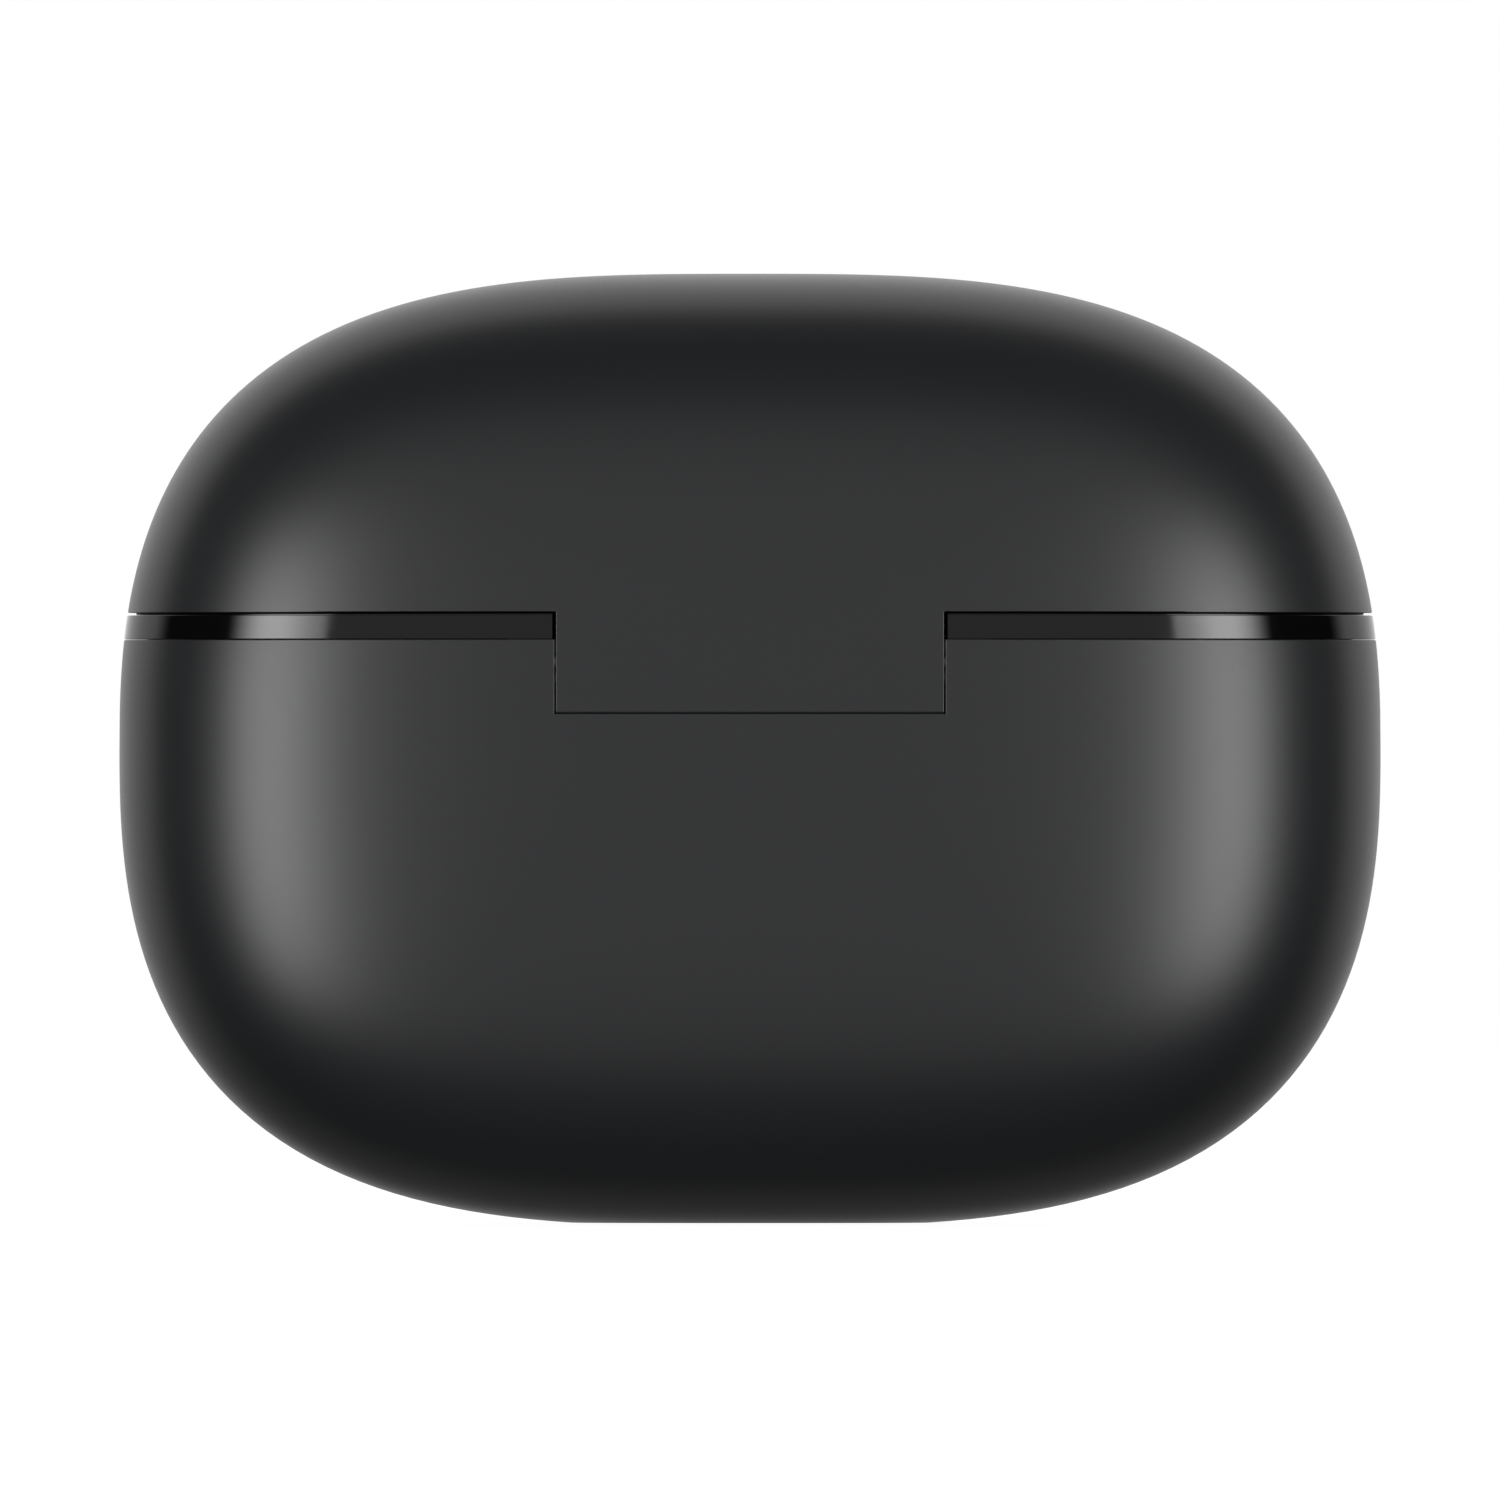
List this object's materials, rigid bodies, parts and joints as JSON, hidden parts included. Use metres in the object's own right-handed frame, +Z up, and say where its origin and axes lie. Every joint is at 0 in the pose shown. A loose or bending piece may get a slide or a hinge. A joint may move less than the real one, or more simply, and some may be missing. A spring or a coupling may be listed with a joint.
{
  "type": "wireless earbuds case",
  "caption": "Pebble-shaped charging case for a pair of wireless earbuds, in matte charcoal with a gloss black band and a hinged lid.",
  "frame": {"origin": "middle of the small flat foot that the closed case stands on", "axes": "+X along the width, +Y towards the hinge at the back, +Z up"},
  "size_m": [0.068, 0.027, 0.0512],
  "materials": {
    "charcoal_plastic": "fine satin moulded texture",
    "gloss_black": "polished",
    "soft_black": "satin",
    "steel": "satin steel",
    "nickel_plate": "nickel plated",
    "gold_plate": "gold plated",
    "board_green": "solder mask over glass-epoxy",
    "chip_black": "moulded epoxy",
    "tray_plastic": "as moulded",
    "cell_wrap": "foil pouch",
    "foam": "open foam",
    "lead_red": "insulation",
    "lead_black": "insulation",
    "flex_amber": "polyimide film",
    "plug_white": "as moulded",
    "led_lens": "lens",
    "clear_lens": "polished end, frosted sides"
  },
  "bodies": {
    "base": {"base_shell": "charcoal_plastic", "cradle": "gloss_black", "hinge_pin": "steel", "torsion_spring": "steel", "board_screw_left": "steel", "board_screw_right": "steel", "contact_spring_left_1": "steel", "contact_spring_left_2": "steel", "contact_spring_right_1": "steel", "contact_spring_right_2": "steel", "usb_shell": "nickel_plate", "base_magnet_left": "nickel_plate", "base_magnet_right": "nickel_plate", "bud_magnet_left": "nickel_plate", "bud_magnet_right": "nickel_plate", "contact_barrel_left_1": "gold_plate", "contact_barrel_left_2": "gold_plate", "contact_barrel_right_1": "gold_plate", "contact_barrel_right_2": "gold_plate", "main_board": "board_green", "deck_board": "board_green", "contact_board_left": "board_green", "contact_board_right": "board_green", "controller_chip": "chip_black", "charge_chip": "chip_black", "tact_switch": "chip_black", "hall_sensor": "chip_black", "usb_tongue": "chip_black", "power_inductor": "chip_black", "battery_tray": "tray_plastic", "battery_cell": "cell_wrap", "battery_pad": "foam", "battery_lead_positive": "lead_red", "battery_lead_negative": "lead_black", "flex_cable": "flex_amber", "contact_lead_left": "flex_amber", "contact_lead_right": "flex_amber", "battery_plug": "plug_white", "status_led": "led_lens", "light_pipe": "clear_lens"},
    "lid": {"lid_shell": "charcoal_plastic", "lid_liner": "soft_black", "hinge_arm": "steel", "arm_screw_left": "steel", "arm_screw_right": "steel", "lid_magnet_left": "nickel_plate", "lid_magnet_right": "nickel_plate", "sensor_magnet": "nickel_plate"},
    "button": {"pair_button": "soft_black"},
    "plunger_left_1": {"contact_plunger_left_1": "gold_plate"},
    "plunger_left_2": {"contact_plunger_left_2": "gold_plate"},
    "plunger_right_1": {"contact_plunger_right_1": "gold_plate"},
    "plunger_right_2": {"contact_plunger_right_2": "gold_plate"}
  },
  "joints": [
    {"name": "lid_hinge", "type": "hinge", "parent": "base", "child": "lid", "pos_m": [0, 0.011, 0.0302], "axis": [-1, 0, 0], "range_deg": [0, 90], "deforming": ["torsion_spring"]},
    {"name": "pair_button_press", "type": "slide", "parent": "base", "child": "button", "axis": [0, 0, -1], "range_m": [0, 0.0004], "stiffness_N_per_m": 1200, "springref_m": -0.0003},
    {"name": "contact_press_left_1", "type": "slide", "parent": "base", "child": "plunger_left_1", "axis": [0, 0, -1], "range_m": [0, 0.0006], "stiffness_N_per_m": 300, "springref_m": -0.0006, "deforming": ["contact_spring_left_1"]},
    {"name": "contact_press_left_2", "type": "slide", "parent": "base", "child": "plunger_left_2", "axis": [0, 0, -1], "range_m": [0, 0.0006], "stiffness_N_per_m": 300, "springref_m": -0.0006, "deforming": ["contact_spring_left_2"]},
    {"name": "contact_press_right_1", "type": "slide", "parent": "base", "child": "plunger_right_1", "axis": [0, 0, -1], "range_m": [0, 0.0006], "stiffness_N_per_m": 300, "springref_m": -0.0006, "deforming": ["contact_spring_right_1"]},
    {"name": "contact_press_right_2", "type": "slide", "parent": "base", "child": "plunger_right_2", "axis": [0, 0, -1], "range_m": [0, 0.0006], "stiffness_N_per_m": 300, "springref_m": -0.0006, "deforming": ["contact_spring_right_2"]}
  ]
}
